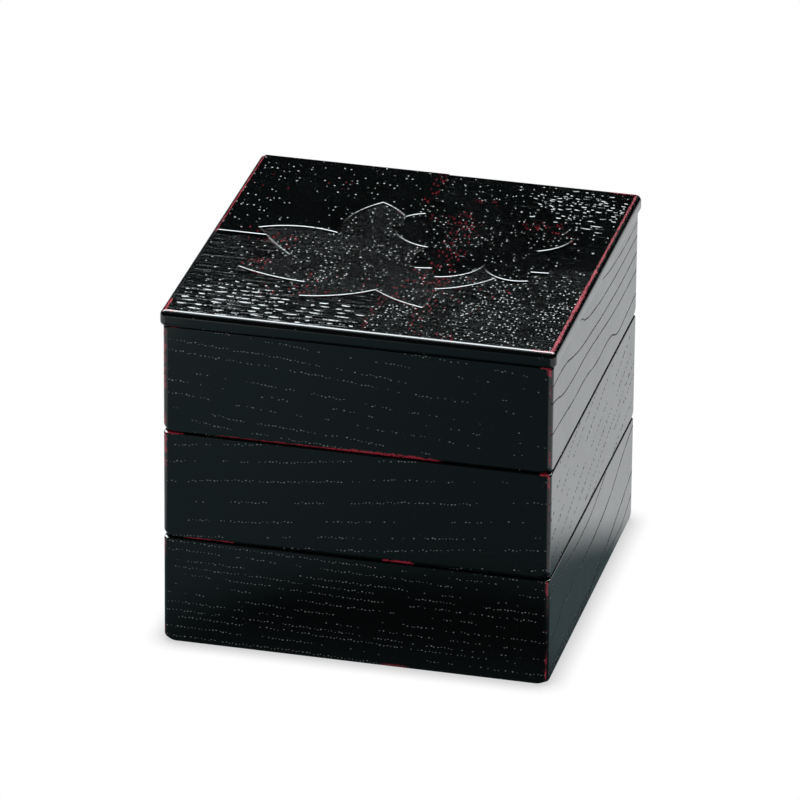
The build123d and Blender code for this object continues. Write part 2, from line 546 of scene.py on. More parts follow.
class Effects:
    """The effects that the finishes share, each built once."""

    def __init__(self) -> None:
        """Builds the node groups."""
        self.pore_rows, self.drawn_line, self.raised_dots = PoreRows(), DrawnLine(), RaisedDots()
        self.rubbed_stretch, self.red_specks, self.handled_sheen = RubbedStretch(), RedSpecks(), HandledSheen()


class Coat:
    """One material while it is made: its graph, and the position on the piece in millimetres."""

    def __init__(self, effects: Effects, name: str) -> None:
        """Starts the material."""
        self.effects = effects
        self.material = bpy.data.materials.new(name)
        self.graph = fresh_graph(self.material)
        self.position = self.graph.millimetres()

    def placed(self, effect: Effect, **feeds: object) -> Outputs:
        """Places an effect at the position on the piece."""
        return effect.place(self.graph, position=self.position, **feeds)

    def rubbed(self, edges: Edges, shown: Socket) -> Value:
        """Masks the rubbed stretches of some edges.

        Args:
            edges: the stretches of each edge, the place along it and how far off it is.
            shown: the mask of where they can show.

        Returns:
            The mask of what is rubbed through, or 0 where there are no stretches.
        """
        masks = [
            self.placed(self.effects.rubbed_stretch, along=along, distance=distance, **vars(stretch))["Mask"]
            for stretches, along, distance in edges
            for stretch in stretches
        ]
        return self.graph.times(self.graph.most(masks), shown) if masks else 0.0

    def pore_rows(self, position: Socket, grain: Grain, kept: Value, shift: float = 0.0) -> Outputs:
        """Places rows of pores.

        Args:
            position: the position along and across the rows.
            grain: how the grain runs.
            kept: the share of pores that stayed open.
            shift: what is added to the grain's seed.

        Returns:
            The mask of the pores, and their depth as a share.
        """
        feeds = {name: getattr(grain, name) for name in ("spacing", "pitch", "length", "width", "wander")}
        feeds |= {"position": position, "kept": kept, "seed": grain.seed + shift}
        return self.effects.pore_rows.place(self.graph, **feeds)

    def handled(self, sheen: float, spread: float, seed: float) -> Outputs:
        """Places the uneven sheen of handling."""
        return self.placed(self.effects.handled_sheen, sheen=sheen, spread=spread, seed=seed)


@dataclass(frozen=True)
class Face:
    """The outer face of a board or rail: its side, its foot and top, and how far out it is, in millimetres."""

    side: Side
    foot: float
    top: float
    half: float

    def measure(self, coat: Coat) -> tuple[Socket, Socket, Socket]:
        """Gives the place along the face, how far out it is, and the height."""
        x, y, z = coat.graph.split(coat.position)
        along, outward = (y, x) if self.side in (Side.RIGHT, Side.LEFT) else (x, y)
        return along, coat.graph.size(outward), z


@dataclass(frozen=True)
class Lacquer:
    """What all the lacquer finishes share: colours, sheen, dust and gloss."""

    body: Colour = BLACK
    under: Colour = RED
    sheen: float = 0.17
    sheen_spread: float = 0.025
    worn_roughness: float = 0.26
    dust_share: float = 0.10
    gloss_ior: float = 1.5

    def dusted(self, coat: Coat, sheen: Outputs) -> Socket:
        """Gives the lacquer's own colour with a little fine dust in it."""
        return coat.graph.blend(coat.graph.times(sheen["Dust"], self.dust_share), self.body, PORE_GREY)

    def finish(self, coat: Coat, colour: object, roughness: Value, height: Socket) -> bpy.types.Material:
        """Ends a material with its shader.

        Args:
            coat: the material.
            colour: the base colour.
            roughness: the roughness of the gloss.
            height: the height of the surface's fine relief, in millimetres.

        Returns:
            The finished material.
        """
        bump = coat.graph.node("Bump", {"Strength": 1.0, "Distance": MM, "Height": height}).outputs[0]
        feeds = {"Base Color": colour, "Roughness": roughness, "IOR": self.gloss_ior, "Normal": bump}
        shader = coat.graph.node("BsdfPrincipled", feeds).outputs[0]
        coat.graph.node("OutputMaterial", {"Surface": shader})
        return coat.material


@dataclass(frozen=True)
class GrainedLacquer(Lacquer):
    """Lacquer over open-grained wood, as on the outsides of the tiers."""

    pore_roughness: float = 0.75
    pore_depth: float = 0.10
    line_depth: float = 0.22
    line_reach: Point = (-70.0, 70.0)
    line_span: Point = (-10.0, 130.0)
    thin_reach: Point = (-25.0, 60.0)
    outside_limits: Point = (4.0, 3.0)
    mouth_limits: Point = (0.15, 0.6)
    foot_line: float = 0.8
    wave_height: float = 0.012

    def pores(self, coat: Coat, along: Socket, up: Socket, grain: Grain | DrawnGrain) -> tuple[Socket, Socket]:
        """Draws the board's grain.

        Args:
            coat: the material.
            along: the place along the board.
            up: the height on the board.
            grain: how the grain runs.

        Returns:
            The mask of the pores and their depth in millimetres.
        """
        graph = coat.graph
        if isinstance(grain, Grain):
            position = graph.join(along, graph.minus(up, graph.times(along, grain.slope)))
            kept = graph.ramp(along, *self.thin_reach, grain.kept, grain.kept * grain.thinned)
            placed = coat.pore_rows(position, grain, kept)
            return placed["Pore"], graph.times(placed["Depth"], self.pore_depth)
        masks = []
        for count, line in enumerate(grain.lines):
            height = graph.curve(along, line.points, self.line_reach, self.line_span)
            placed = coat.effects.drawn_line.place(
                graph,
                along=along,
                distance=graph.size(graph.minus(up, height)),
                half_width=line.half_width,
                strength=line.strength,
                seed=grain.seed + count,
            )
            masks.append(placed["Mask"])
        mask = graph.most(masks)
        return mask, graph.times(mask, self.line_depth)

    def make(self, coat: Coat, face: Face, grain: Grain | DrawnGrain, wear: Wear) -> bpy.types.Material:
        """Makes the finish of one wall board.

        Args:
            coat: the new material.
            face: the board's outer face.
            grain: how the grain runs.
            wear: where the edges are rubbed through.

        Returns:
            The finished material.
        """
        graph = coat.graph
        along, outward, z = face.measure(coat)
        outside = graph.ramp(outward, *(face.half - limit for limit in self.outside_limits))
        below_mouth = graph.ramp(z, *(face.top - limit for limit in self.mouth_limits))
        pore, depth = (graph.times(part, outside, below_mouth) for part in self.pores(coat, along, z, grain))
        run = graph.times(along, -1.0 if face.side in (Side.BACK, Side.LEFT) else 1.0)
        edges = (
            (wear.foot, run, graph.size(graph.minus(z, face.foot + self.foot_line))),
            (wear.mouth, run, graph.minus(face.top, z)),
            (wear.left, z, graph.plus(run, face.half)),
            (wear.right, z, graph.minus(face.half, run)),
        )
        red = coat.rubbed(edges, outside)
        sheen = coat.handled(self.sheen, self.sheen_spread, face.foot + len(face.side.value))
        colour = graph.blend(pore, self.dusted(coat, sheen), grain.pore)
        colour = graph.blend(red, colour, self.under)
        roughness = graph.pick(pore, sheen["Roughness"], self.pore_roughness)
        roughness = graph.pick(red, roughness, self.worn_roughness)
        height = graph.minus(graph.times(sheen["Wave"], self.wave_height), depth)
        return self.finish(coat, colour, roughness, height)


@dataclass(frozen=True)
class RailLacquer(Lacquer):
    """Smooth lacquer over fine grain, as on the lid's rails, rubbed through on the crest."""

    sheen: float = 0.16
    crest_inset: float = 1.7
    rubbed_limits: Point = (5.5, 4.0)
    grain: Grain = Grain(0.0, 2.6, 1.6, 0.7, 0.3, 0.16, 0.3, 31.0)
    sheen_seed: float = 17.0
    pore_share: float = 0.6
    pore_depth: float = 0.04
    wave_height: float = 0.008

    def make(self, coat: Coat, face: Face, crest_wear: Stretches, end_wear: Stretches) -> bpy.types.Material:
        """Makes the finish of one rail of the lid.

        Args:
            coat: the new material.
            face: the rail's outer face.
            crest_wear: rubbed stretches along the rounded top edge.
            end_wear: rubbed stretches up the rail's ends.

        Returns:
            The finished material.
        """
        graph = coat.graph
        along, outward, z = face.measure(coat)
        pores = coat.pore_rows(graph.join(along, z), self.grain, self.grain.kept, len(face.side.value))
        from_crest = graph.size(graph.minus(outward, face.half - self.crest_inset))
        end = graph.minus(face.half, graph.size(along))
        high = graph.ramp(z, *(face.top - limit for limit in self.rubbed_limits))
        red = coat.rubbed(((crest_wear, along, from_crest), (end_wear, z, end)), high)
        sheen = coat.handled(self.sheen, self.sheen_spread, self.sheen_seed)
        colour = graph.blend(graph.times(pores["Pore"], self.pore_share), self.body, PORE_GREY)
        colour = graph.blend(red, colour, self.under)
        roughness = graph.pick(red, sheen["Roughness"], self.worn_roughness)
        wave = graph.times(sheen["Wave"], self.wave_height)
        height = graph.math("MULTIPLY_ADD", pores["Depth"], -self.pore_depth, wave)
        return self.finish(coat, colour, roughness, height)


@dataclass(frozen=True)
class Texture:
    """The fine relief of one board or leaf of the lid's top, in millimetres.

    Waves are low bands that run left and right. The tooth is the finest relief. Dots are small cones.
    """

    sheen: float
    wave: float
    tooth: float
    dot_pitch: float
    dot_radius: float
    dot_kept: float
    seed: float


@dataclass(frozen=True)
class SpeckField:
    """Where high spots are rubbed red: left, right, front and back limits in millimetres, and the share of them."""

    left: float
    right: float
    front: float
    back: float
    kept: float


@dataclass(frozen=True)
class ReliefLacquer(Lacquer):
    """Lacquer brushed or dotted over the lid's boards and leaves, rubbed through to red at edges and high spots."""

    under: Colour = DARK_RED
    sheen_spread: float = 0.015
    seed_shift: Point = (3.0, 5.0)
    wave_scale: Triple = (1.0 / 13.0, 1.0 / 2.1, 0.0)
    tooth_shape: Triple = (1.0, 0.7, 0.0)
    tooth_noise: Triple = (1.7, 2.0, 0.6)
    dot_height: float = 0.42
    edge_limits: Point = (-0.12, -0.36)
    ragged_scale: float = 0.16
    ragged_limits: Point = (0.44, 0.60)
    dust_share: float = 0.12

    def make(
        self, coat: Coat, texture: Texture, specks: tuple[SpeckField, ...], edge_red: float
    ) -> bpy.types.Material:
        """Makes the finish of one board or leaf of the lid's top.

        Args:
            coat: the new material.
            texture: the fine relief.
            specks: fields of red high spots.
            edge_red: how far the edges that face left are rubbed through.

        Returns:
            The finished material.
        """
        graph, effects, position = coat.graph, coat.effects, coat.position
        shift = tuple(texture.seed * share for share in self.seed_shift)
        shifted = graph.vector("ADD", position, (*shift, 0.0))
        waves = graph.noise(graph.vector("MULTIPLY", shifted, self.wave_scale), 1.0)
        tooth = graph.noise(graph.vector("MULTIPLY", shifted, self.tooth_shape), *self.tooth_noise)
        dots = coat.placed(
            effects.raised_dots, pitch=texture.dot_pitch, radius=texture.dot_radius, kept=texture.dot_kept,
            seed=texture.seed,
        )
        height = graph.times(dots["Height"], self.dot_height)
        height = graph.math("MULTIPLY_ADD", waves, texture.wave, height)
        height = graph.math("MULTIPLY_ADD", tooth, texture.tooth, height)
        reds = [
            coat.placed(effects.red_specks, seed=texture.seed + count, **vars(speck))["Mask"]
            for count, speck in enumerate(specks)
        ]
        facing_left, _, _ = graph.split(graph.node("TexCoord").outputs["Normal"])
        ragged = graph.ramp(graph.noise(position, self.ragged_scale), *self.ragged_limits)
        reds.append(graph.times(graph.ramp(facing_left, *self.edge_limits), ragged, edge_red))
        sheen = coat.handled(texture.sheen, self.sheen_spread, texture.seed)
        colour = graph.blend(graph.most(reds), self.dusted(coat, sheen), self.under)
        return self.finish(coat, colour, sheen["Roughness"], height)


@dataclass(frozen=True)
class InnerLacquer(Lacquer):
    """Smooth satin lacquer on what shows only when the box is opened."""

    body: Colour = SOFT_BLACK
    sheen: float = 0.30
    brush_shape: Triple = (0.12, 1.6, 1.6)
    brush_noise: Point = (1.0, 3.0)
    brush_height: float = 0.012
    wave_height: float = 0.02
    dust_share: float = 0.15

    def make(self, coat: Coat, seed: float) -> bpy.types.Material:
        """Makes the finish.

        Args:
            coat: the new material.
            seed: a number that sets this piece's smudges apart.

        Returns:
            The finished material.
        """
        graph = coat.graph
        sheen = coat.handled(self.sheen, self.sheen_spread, seed)
        brushed = graph.noise(graph.vector("MULTIPLY", coat.position, self.brush_shape), *self.brush_noise)
        wave = graph.times(sheen["Wave"], self.wave_height)
        height = graph.math("MULTIPLY_ADD", brushed, self.brush_height, wave)
        return self.finish(coat, self.dusted(coat, sheen), sheen["Roughness"], height)


def dress(piece: bpy.types.Object, material: bpy.types.Material) -> None:
    """Gives a piece one finish in all its material slots, and reports it."""
    if not piece.data.materials:
        piece.data.materials.append(material)
    for count in range(len(piece.data.materials)):
        piece.data.materials[count] = material
    LOG.info("%s dressed in %s", piece.name, material.name)


@dataclass
class Tier:
    """One tier: four wall boards, a base board and four lip strips."""

    name: str
    grains: dict[Side, Grain | DrawnGrain]
    wears: dict[Side, Wear]
    lip_seed: float = 3.0
    base_seed: float = 7.0

    def dress(self, effects: Effects, nodes: Nodes) -> None:
        """Gives each piece of the tier its finish.

        Args:
            effects: the shared effects.
            nodes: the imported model's pieces by name.
        """
        low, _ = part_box(f"{self.name}_front_board")
        _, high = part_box(f"{self.name}_right_board")
        for side in Side:
            board, lip = f"{self.name}_{side.value}_board", f"{self.name}_{side.value}_lip"
            face = Face(side, low.z / MM, high.z / MM, high.x / MM)
            coat = Coat(effects, f"grained_{board}")
            dress(nodes[board], GrainedLacquer().make(coat, face, self.grains[side], self.wears.get(side, Wear())))
            dress(nodes[lip], InnerLacquer().make(Coat(effects, f"inner_{lip}"), self.lip_seed))
        base = f"{self.name}_base_board"
        dress(nodes[base], InnerLacquer().make(Coat(effects, f"inner_{base}"), self.base_seed))


@dataclass(frozen=True)
class Patch:
    """Raised strokes or dots of lacquer scattered over part of a board, in millimetres.

    Along, across and high are the least and the most of a stroke's half length, half width and height. Rows are how
    far apart rows of strokes lie, or 0 where they lie anyhow. Turn and loose are how they lie, in degrees, and how
    much that varies.
    """

    centre: Point
    spread: Point
    count: int
    along: Point
    across: Point
    high: Point
    rows: float = 0.0
    turn: float = 0.0
    loose: float = 12.0
    gather: ClassVar[float] = 0.62
    furthest: ClassVar[float] = 1.5
    row_swing: ClassVar[float] = 0.5
    row_swing_pace: ClassVar[float] = 5.0
    row_slack: ClassVar[float] = 0.35

    def offset(self, draw: random.Random) -> float:
        """Draws a place within the patch, as a share of its spread."""
        return max(-self.furthest, min(self.furthest, draw.gauss(0.0, self.gather)))

    def stroke(self, draw: random.Random) -> Stroke:
        """Draws one stroke of the patch."""
        along, across, high = (draw.uniform(*limits) for limits in (self.along, self.across, self.high))
        x = self.centre[0] + self.spread[0] * self.offset(draw)
        y = self.centre[1] + self.spread[1] * self.offset(draw)
        if self.rows:
            swing = self.row_swing * math.sin(x / self.row_swing_pace)
            y = round(y / self.rows) * self.rows + swing + draw.uniform(-self.row_slack, self.row_slack)
        return Stroke(x, y, along, across, high, math.radians(draw.gauss(self.turn, self.loose / 2.0)))


@dataclass(frozen=True)
class Stroke:
    """One raised stroke: middle, half length, half width and height in millimetres, and how it lies, in radians."""

    x: float
    y: float
    along: float
    across: float
    high: float
    turn: float
    corners: ClassVar[int] = 12
    buried: ClassVar[float] = 0.04
    crest_share: ClassVar[float] = 0.14

    def ring(self, corners: int, along: float, across: float, height: float) -> list[Vector]:
        """Gives the points of an oval around the stroke's middle.

        Args:
            corners: how many points.
            along: the oval's half length.
            across: its half width.
            height: how high it lies.

        Returns:
            The points, in millimetres.
        """
        spots = []
        for step in range(corners):
            u, v = along * math.cos(math.tau * step / corners), across * math.sin(math.tau * step / corners)
            x = self.x + u * math.cos(self.turn) - v * math.sin(self.turn)
            y = self.y + u * math.sin(self.turn) + v * math.cos(self.turn)
            spots.append(Vector((x, y, height)))
        return spots

    def clear(self, other: Stroke) -> bool:
        """Tells whether the stroke stays clear of another."""
        return abs(self.x - other.x) > self.along + other.along or abs(self.y - other.y) > self.across + other.across

    def add_to(self, shape: bmesh.types.BMesh, top: float) -> None:
        """Adds the closed stroke to a shape: a wide foot just under the surface, and a narrow ridge.

        Args:
            shape: the shape that it goes into.
            top: the height of the surface, in millimetres.
        """
        ridge = max(self.along - self.across, 0.0) / self.along
        crest_along = self.along * (ridge + (1.0 - ridge) * self.crest_share)
        ovals = (
            (self.along, self.across, top - self.buried),
            (crest_along, self.across * self.crest_share, top + self.high),
        )
        low, crest = ([shape.verts.new(spot * MM) for spot in self.ring(self.corners, *oval)] for oval in ovals)
        shape.faces.new(low[::-1])
        shape.faces.new(crest)
        for step in range(self.corners):
            after = (step + 1) % self.corners
            shape.faces.new((low[step], low[after], crest[after], crest[step]))


@dataclass
class ReliefPiece:
    """One board or leaf of the lid's top: a sloped rim, and strokes and dots of raised lacquer on it."""

    name: str
    texture: Texture
    slope_width: float = 0.0
    patches: tuple[Patch, ...] = ()
    specks: tuple[SpeckField, ...] = ()
    edge_red: float = 0.0
    slope_drop: ClassVar[float] = 0.07
    level: ClassVar[float] = 1e-6
    weld: ClassVar[float] = 0.00001
    margin: ClassVar[float] = 0.15
    probes: ClassVar[int] = 8
    probe_lift: ClassVar[float] = 1.0
    seat_slack: ClassVar[float] = 0.01
    seed_step: ClassVar[float] = 100.0

    def build(self, effects: Effects, nodes: Nodes) -> None:
        """Shapes the piece and gives it its finish.

        Args:
            effects: the shared effects.
            nodes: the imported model's pieces by name.
        """
        node = nodes[f"lid_{self.name}"]
        coat = Coat(effects, f"relief_{self.name}")
        finish = ReliefLacquer().make(coat, self.texture, self.specks, self.edge_red)
        dress(node, finish)
        if self.slope_width:
            dress(self.sloped(node), finish)
        if self.patches:
            dress(self.strokes(node), finish)

    def sloped(self, node: bpy.types.Object) -> bpy.types.Object:
        """Makes the piece with its top's rim sloped off, in place of the node.

        Args:
            node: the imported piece.

        Returns:
            The new piece.
        """
        shape = bmesh.new()
        shape.from_mesh(node.data)
        bmesh.ops.remove_doubles(shape, verts=shape.verts, dist=self.weld)
        top = max(vert.co.z for vert in shape.verts)
        flat = [face for face in shape.faces if all(abs(vert.co.z - top) < self.level for vert in face.verts)]
        face = bmesh.ops.dissolve_faces(shape, faces=flat)["region"][0]
        bmesh.ops.inset_region(
            shape, faces=[face], thickness=self.slope_width * MM, use_boundary=True, use_even_offset=True
        )
        kept = set(face.verts)
        for vert in shape.verts:
            if abs(vert.co.z - top) < self.level and vert not in kept:
                vert.co.z -= self.slope_drop * MM
        for side in shape.faces:
            side.smooth = False
        return self.piece(f"lid_{self.name}_lacquered", shape, node)

    def piece(self, name: str, shape: bmesh.types.BMesh, node: bpy.types.Object | None) -> bpy.types.Object:
        """Makes an object of a shape, on the lid.

        Args:
            name: the object's name.
            shape: its shape, used up here.
            node: the node that it replaces, if it does.

        Returns:
            The new object.
        """
        mesh = bpy.data.meshes.new(name)
        shape.to_mesh(mesh)
        shape.free()
        made = added(name, mesh)
        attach(made, "lid")
        if node:
            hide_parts(node.name)
        return made

    def strokes(self, node: bpy.types.Object) -> bpy.types.Object:
        """Lays the raised strokes on the piece.

        Args:
            node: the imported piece.

        Returns:
            One object of all its strokes.
        """
        draw = random.Random(int(self.texture.seed * self.seed_step))
        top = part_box(node.name)[1].z / MM
        sides = [list(side.vertices) for side in node.data.polygons]
        tree = BVHTree.FromPolygons([vert.co for vert in node.data.vertices], sides)
        shape = bmesh.new()
        laid: list[Stroke] = []
        for patch in self.patches:
            for _ in range(patch.count):
                stroke = patch.stroke(draw)
                if self.seated(tree, stroke, top) and all(stroke.clear(other) for other in laid):
                    laid.append(stroke)
                    stroke.add_to(shape, top)
        LOG.info("%s carries %d raised strokes", self.name, len(laid))
        return self.piece(f"lid_{self.name}_strokes", shape, None)

    def seated(self, tree: BVHTree, stroke: Stroke, top: float) -> bool:
        """Tells whether a stroke would lie wholly on the flat of the piece's top.

        Args:
            tree: the piece's faces.
            stroke: the stroke.
            top: the height of the piece's top.

        Returns:
            True if all of it has the top under it.
        """
        margin = self.slope_width + self.margin
        ring = stroke.ring(self.probes, stroke.along + margin, stroke.across + margin, top + self.probe_lift)
        for spot in ring:
            hit = tree.ray_cast(spot * MM, Vector((0.0, 0.0, -1.0)))[0]
            if hit is None or abs(hit.z / MM - top) > self.seat_slack:
                return False
        return True


@dataclass
class Lid:
    """The lid: four rails, a panel, four top boards and two leaves in relief."""

    crest_wears: dict[Side, Stretches]
    end_wears: dict[Side, Stretches]
    relief: tuple[ReliefPiece, ...]
    panel_seed: float = 11.0

    def build(self, effects: Effects, nodes: Nodes) -> None:
        """Gives each piece of the lid its finish, and the top its relief.

        Args:
            effects: the shared effects.
            nodes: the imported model's pieces by name.
        """
        low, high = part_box("lid_right_rail")
        for side in Side:
            face = Face(side, low.z / MM, high.z / MM, high.x / MM)
            coat = Coat(effects, f"rail_{side.value}")
            wears = (self.crest_wears.get(side, ()), self.end_wears.get(side, ()))
            dress(nodes[f"lid_{side.value}_rail"], RailLacquer().make(coat, face, *wears))
        dress(nodes["lid_panel"], InnerLacquer().make(Coat(effects, "inner_lid_panel"), self.panel_seed))
        for piece in self.relief:
            piece.build(effects, nodes)


@dataclass
class Camera:
    """The camera, worked out from its turn, its tilt and how far off it is. Lengths in millimetres."""

    azimuth: float = 13.50
    elevation: float = 25.37
    roll: float = 0.55
    aside: float = 0.47
    below: float = -62.42
    distance: float = 2890.0
    lens: float = 370.4
    sensor: float = 36.0
    clip: Point = (0.1, 100.0)

    def place(self) -> None:
        """Puts the camera in the scene."""
        turn, tilt, roll = (math.radians(value) for value in (self.azimuth, self.elevation, self.roll))
        right = Vector((math.cos(turn), math.sin(turn), 0.0))
        back = Vector((math.sin(turn) * math.cos(tilt), -math.cos(turn) * math.cos(tilt), math.sin(tilt)))
        up = back.cross(right)
        rolled_right = right * math.cos(roll) + up * math.sin(roll)
        rolled_up = up * math.cos(roll) - right * math.sin(roll)
        axes = Matrix((rolled_right, rolled_up, back)).transposed()
        stand = axes @ Vector((-self.aside, -self.below, self.distance)) * MM
        data = bpy.data.cameras.new("camera")
        data.lens = self.lens
        data.sensor_width = self.sensor
        data.clip_start, data.clip_end = self.clip
        camera = added("camera", data)
        camera.matrix_world = Matrix.Translation(stand) @ axes.to_4x4()
        bpy.context.scene.camera = camera


@dataclass
class Studio:
    """The pale floor and the plain soft light. The floor's places are in millimetres.

    Reflections show a soft box overhead, from above the box to behind it, and dim where it is straight above. Its
    limits are leans from straight up, in degrees, towards the back, and the share of a ray that goes sideways.
    """

    floor_half: float = 12.0
    floor_drop: float = 0.00005
    floor_diffuse: Colour = (0.55, 0.55, 0.55, 1.0)
    far_floor: Colour = (0.02, 0.02, 0.02, 1.0)
    far_limits: Point = (1000.0, 1400.0)
    # Painted shadow of the box on the floor, as reflections show it: its centre, its limits, and its shine and tint
    # from front to back.
    near_centre: Triple = (25.0, -40.0, 0.0)
    near_limits: Point = (125.0, 85.0)
    under_shine: tuple[float, ...] = (-110.0, -20.0, 0.010, 0.14)
    under_tint: Point = (0.7, 1.05)
    ahead_shine: tuple[float, ...] = (-130.0, 40.0, 0.27, 0.15)
    ahead_tint: Point = (0.62, 1.08)
    behind_limits: Point = (-60.0, 0.0)
    left_limits: Point = (-130.0, -170.0)
    right_limits: Point = (110.0, 150.0)
    behind_shine: Colour = (0.97, 1.0, 1.02, 1.0)
    contact_reach: float = 0.008
    contact_shade: tuple[float, ...] = (0.5, 1.0, 0.66, 1.0)
    fill: float = 0.75
    dim: float = 0.005
    soft_box: float = 17.0
    box_tint: Colour = (0.93, 1.0, 1.02, 1.0)
    front_limits: Point = (-11.0, -3.0)
    overhead_limits: Point = (16.0, 28.0)
    overhead: float = 0.06
    back_limits: Point = (60.0, 45.0)
    side_middle: float = -0.15
    side_limits: Point = (0.75, 0.55)
    lamp_side: float = 2.4
    lamp_place: Triple = (-0.5, -0.8, 3.0)
    lamp_light: float = 0.3

    def build(self) -> None:
        """Makes the floor, the world and the lamp."""
        self.make_floor()
        self.make_world()
        self.make_lamp()

    def floor_shine(self, graph: Graph, x: Socket, y: Socket) -> Socket:
        """Gives the floor as reflections show it, as painted light and shade: pale behind and beside the box, dim
        before it, and a painted shadow of the box on the floor around it.

        Args:
            graph: the floor material's graph.
            x: the place left to right, in millimetres.
            y: the place front to back, in millimetres.

        Returns:
            Its colour there.
        """
        # Painted shadow of the box: within a circle round a point to its front right, the floor that reflections show
        # darkens, darkest towards the front.
        away = graph.node("VectorMath", {0: graph.join(x, y), 1: self.near_centre}, operation="DISTANCE")
        near = graph.ramp(away.outputs["Value"], *self.near_limits)
        under, ahead = graph.ramp(y, *self.under_shine), graph.ramp(x, *self.ahead_shine)
        painted_shadow, front = (
            graph.join(graph.times(shine, red), shine, graph.times(shine, blue))
            for shine, (red, blue) in ((under, self.under_tint), (ahead, self.ahead_tint))
        )
        places = ((y, self.behind_limits), (x, self.left_limits), (x, self.right_limits))
        behind = graph.most([graph.ramp(place, *limits) for place, limits in places])
        shine = graph.blend(behind, front, self.behind_shine)
        shine = graph.blend(near, shine, painted_shadow)
        return graph.blend(graph.ramp(graph.length(x, y), *self.far_limits), shine, self.far_floor)

    def make_floor(self) -> None:
        """Lays the floor: white with a soft contact shade to the camera, and shaded for what mirrors it."""
        mesh = bpy.data.meshes.new("floor")
        side = self.floor_half
        corners = [(-side, -side, 0.0), (side, -side, 0.0), (side, side, 0.0), (-side, side, 0.0)]
        mesh.from_pydata(corners, [], [(0, 1, 2, 3)])
        floor = added("floor", mesh)
        floor.location.z = -self.floor_drop
        material = bpy.data.materials.new("pale_floor")
        graph = fresh_graph(material)
        x, y, _ = graph.split(graph.millimetres())
        shine = self.floor_shine(graph, x, y)
        closeness = graph.node("AmbientOcclusion", {"Distance": self.contact_reach}, samples=16).outputs["AO"]
        contact = graph.line(closeness, *self.contact_shade)
        rays = graph.node("LightPath").outputs
        diffuse = graph.node("BsdfDiffuse", {"Color": self.floor_diffuse}).outputs[0]
        to_camera = graph.node("Emission", {"Color": graph.join(contact, contact, contact)}).outputs[0]
        to_gloss = graph.node("Emission", {"Color": shine}).outputs[0]
        mixed = graph.node("MixShader", {0: rays["Is Glossy Ray"], 1: diffuse, 2: to_gloss}).outputs[0]
        mixed = graph.node("MixShader", {0: rays["Is Camera Ray"], 1: mixed, 2: to_camera}).outputs[0]
        graph.node("OutputMaterial", {"Surface": mixed})
        mesh.materials.append(material)

    def make_world(self) -> None:
        """Makes a world that is white to the camera and a plain fill, and shows reflections the soft box."""
        world = bpy.data.worlds.new("studio")
        bpy.context.scene.world = world
        graph = fresh_graph(world)
        world.cycles.sampling_method = "NONE"
        x, y, z = graph.split(graph.node("TexCoord").outputs["Generated"])
        lean = graph.math("DEGREES", graph.math("ARCTAN2", y, z))
        box = graph.times(
            graph.ramp(lean, *self.front_limits),
            graph.ramp(lean, *self.overhead_limits, self.overhead, 1.0),
            graph.ramp(lean, *self.back_limits),
            graph.ramp(graph.size(graph.minus(x, self.side_middle)), *self.side_limits),
            self.soft_box,
        )
        rays = graph.node("LightPath").outputs
        strength = graph.pick(rays["Is Glossy Ray"], self.fill, graph.plus(box, self.dim))
        strength = graph.math("MAXIMUM", strength, rays["Is Camera Ray"])
        tint = graph.blend(rays["Is Glossy Ray"], WHITE, self.box_tint)
        background = graph.node("Background", {"Color": tint, "Strength": strength}).outputs[0]
        graph.node("OutputWorld", {"Surface": background})

    def make_lamp(self) -> None:
        """Hangs one large soft lamp overhead, a little to the front."""
        data = bpy.data.lights.new("overhead_lamp", "AREA")
        data.shape = "SQUARE"
        data.size = self.lamp_side
        data.energy = self.lamp_light * math.pi * math.pi * self.lamp_place[2] ** 2
        lamp = added("overhead_lamp", data)
        lamp.location = self.lamp_place
        lamp.visible_camera = False
        lamp.visible_glossy = False


TOP_RIGHT_GRAIN = DrawnGrain(
    (
        Line(((2, 120.3), (10, 119.0), (20, 117.3), (30, 116.5), (45, 115.8), (65, 116.0)), 0.36, 0.85),
        Line(
            ((-55, 120.0), (-37, 119.3), (-24, 118.8), (-19, 116.3), (0, 112.7), (20, 111.2), (40, 110.7), (65, 110.9)),
            0.40,
            0.9,
        ),
        Line((
            (-70, 112.7), (-47, 112.6), (-37, 110.4), (-25, 108.1), (-5, 106.2), (15, 104.8), (40, 104.0), (65, 104.5),
        )),
        Line((
            (-70, 106.9), (-61, 105.6), (-52, 103.2), (-35, 101.7), (-14, 101.3), (10, 99.3), (30, 97.8), (65, 97.7),
        )),
        Line((
            (-70, 95.2), (-50, 94.1), (-35, 93.1), (-15, 92.9), (0, 90.9), (26, 90.1), (35, 86.9), (50, 87.3),
            (65, 88.6),
        )),
    ),
    20.0,
)
TOP_LEFT_GRAIN = DrawnGrain(
    (
        Line(((-68, 116.8), (-40, 116.4), (-20, 114.9), (10, 114.4), (40, 115.2), (68, 117.0))),
        Line(((-68, 109.4), (-45, 108.4), (-15, 105.4), (10, 105.1), (35, 106.9), (68, 107.9))),
        Line(((-68, 102.0), (-30, 100.8), (0, 97.4), (30, 97.0), (68, 99.5))),
        Line(((-68, 93.6), (-25, 92.6), (5, 88.6), (30, 87.6), (68, 90.1))),
        Line(((-68, 85.6), (-40, 85.1), (-10, 82.7), (10, 81.2), (30, 79.2), (40, 77.2)), 0.38, 0.9),
    ),
    40.0,
)
BOTTOM_RIGHT_GRAIN = DrawnGrain(
    (
        Line(((-40, 33.7), (-25, 33.2), (-5, 33.9), (10, 36.6), (25, 40.6)), 0.45, 0.9),
        Line(
            (
                (-66, 13.9), (-55, 16.3), (-45, 19.8), (-30, 20.0), (-10, 21.8), (10, 23.3), (30, 26.7), (50, 33.2),
                (65, 37.1),
            ),
            0.55,
        ),
        Line(((-10, 3.0), (10, 6.4), (30, 9.9), (50, 14.9), (67, 19.3)), 0.55),
        Line(((50, 5.0), (67, 10.4)), 0.45, 0.8),
    ),
    60.0,
)
